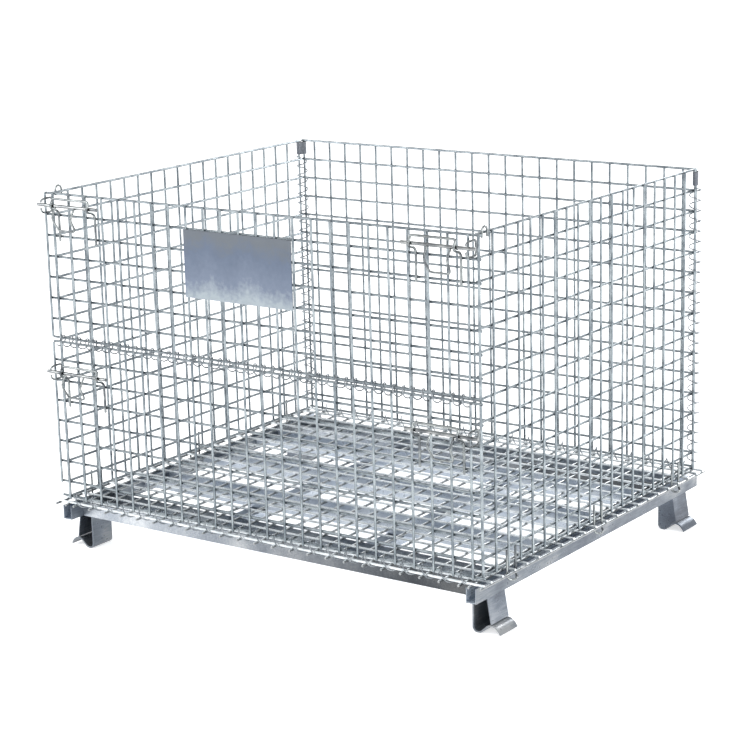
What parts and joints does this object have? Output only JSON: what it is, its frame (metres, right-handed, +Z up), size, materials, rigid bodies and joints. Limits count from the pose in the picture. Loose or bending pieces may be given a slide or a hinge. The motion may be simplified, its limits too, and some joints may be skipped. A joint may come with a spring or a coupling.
{
  "type": "wire mesh container",
  "caption": "Foldable stackable wire mesh pallet cage with a mesh floor on sheet channels and feet, and a hinged front whose drop gate is held by sliding bolts.",
  "frame": {"origin": "centre of the outline on the ground under the four feet", "axes": "+X to the right as seen from the front, +Y from the front towards the back, +Z up; the hinged front faces -Y"},
  "size_m": [1.2374, 1.0464, 0.891],
  "materials": {
    "zinc_wire": "bright zinc plated wire",
    "bright_bolt": "bright zinc plated bar",
    "zinc_sheet": "zinc plated sheet",
    "label_sheet": "satin blank sheet"
  },
  "bodies": {
    "cage": {"back_bottom_coil": "zinc_wire", "back_left_clip": "zinc_sheet", "back_left_coil": "zinc_wire", "back_mesh": "zinc_wire", "back_right_clip": "zinc_sheet", "back_right_coil": "zinc_wire", "cross_channel_1": "zinc_sheet", "cross_channel_2": "zinc_sheet", "cross_channel_3": "zinc_sheet", "floor_mesh": "zinc_wire", "foot_back_left_strap": "zinc_sheet", "foot_back_left_web": "zinc_sheet", "foot_back_right_strap": "zinc_sheet", "foot_back_right_web": "zinc_sheet", "foot_front_left_strap": "zinc_sheet", "foot_front_left_web": "zinc_sheet", "foot_front_right_strap": "zinc_sheet", "foot_front_right_web": "zinc_sheet", "front_bottom_coil": "zinc_wire", "front_rail": "zinc_sheet", "left_hoop_front": "zinc_wire", "left_hoop_middle": "zinc_wire", "left_hoop_rear": "zinc_wire", "left_side_channel": "zinc_sheet", "left_side_mesh": "zinc_wire", "left_stacking_ring": "zinc_wire", "left_stringer": "zinc_sheet", "lower_left_keeper": "zinc_wire", "lower_right_keeper": "zinc_wire", "rear_rail": "zinc_sheet", "right_hoop_front": "zinc_wire", "right_hoop_middle": "zinc_wire", "right_hoop_rear": "zinc_wire", "right_side_channel": "zinc_sheet", "right_side_mesh": "zinc_wire", "right_stacking_ring": "zinc_wire", "right_stringer": "zinc_sheet", "upper_left_keeper": "zinc_wire", "upper_right_keeper": "zinc_wire"},
    "gate": {"gate_mesh": "zinc_wire", "label_plate": "label_sheet", "upper_left_bracket": "zinc_wire", "upper_right_bracket": "zinc_wire"},
    "lower_front": {"lower_front_mesh": "zinc_wire", "mid_front_coil": "zinc_wire", "lower_left_bracket": "zinc_wire", "lower_right_bracket": "zinc_wire"},
    "upper_left_bolt": {"upper_left_bolt": "bright_bolt"},
    "upper_left_handle": {"upper_left_handle": "zinc_wire"},
    "upper_right_bolt": {"upper_right_bolt": "bright_bolt"},
    "upper_right_handle": {"upper_right_handle": "zinc_wire"},
    "lower_left_bolt": {"lower_left_bolt": "bright_bolt"},
    "lower_left_handle": {"lower_left_handle": "zinc_wire"},
    "lower_right_bolt": {"lower_right_bolt": "bright_bolt"},
    "lower_right_handle": {"lower_right_handle": "zinc_wire"}
  },
  "joints": [
    {"name": "front_drop", "type": "hinge", "parent": "cage", "child": "lower_front", "pos_m": [0, -0.48355, 0.1335], "axis": [1, 0, 0], "range_deg": [0, 90]},
    {"name": "gate_drop", "type": "hinge", "parent": "lower_front", "child": "gate", "pos_m": [0, -0.48325, 0.525], "axis": [1, 0, 0], "range_deg": [0, 140]},
    {"name": "upper_left_bolt_slide", "type": "slide", "parent": "gate", "child": "upper_left_bolt", "axis": [-1, 0, 0], "range_m": [-0.036, 0]},
    {"name": "upper_left_handle_turn", "type": "hinge", "parent": "upper_left_bolt", "child": "upper_left_handle", "pos_m": [-0.5135, -0.50275, 0.851], "axis": [1, 0, 0], "range_deg": [-100, 0]},
    {"name": "upper_right_bolt_slide", "type": "slide", "parent": "gate", "child": "upper_right_bolt", "axis": [1, 0, 0], "range_m": [-0.036, 0]},
    {"name": "upper_right_handle_turn", "type": "hinge", "parent": "upper_right_bolt", "child": "upper_right_handle", "pos_m": [0.5135, -0.50275, 0.851], "axis": [1, 0, 0], "range_deg": [-100, 0]},
    {"name": "lower_left_bolt_slide", "type": "slide", "parent": "lower_front", "child": "lower_left_bolt", "axis": [-1, 0, 0], "range_m": [-0.036, 0]},
    {"name": "lower_left_handle_turn", "type": "hinge", "parent": "lower_left_bolt", "child": "lower_left_handle", "pos_m": [-0.5135, -0.50275, 0.451], "axis": [1, 0, 0], "range_deg": [-100, 0]},
    {"name": "lower_right_bolt_slide", "type": "slide", "parent": "lower_front", "child": "lower_right_bolt", "axis": [1, 0, 0], "range_m": [-0.036, 0]},
    {"name": "lower_right_handle_turn", "type": "hinge", "parent": "lower_right_bolt", "child": "lower_right_handle", "pos_m": [0.5135, -0.50275, 0.451], "axis": [1, 0, 0], "range_deg": [-100, 0]}
  ]
}
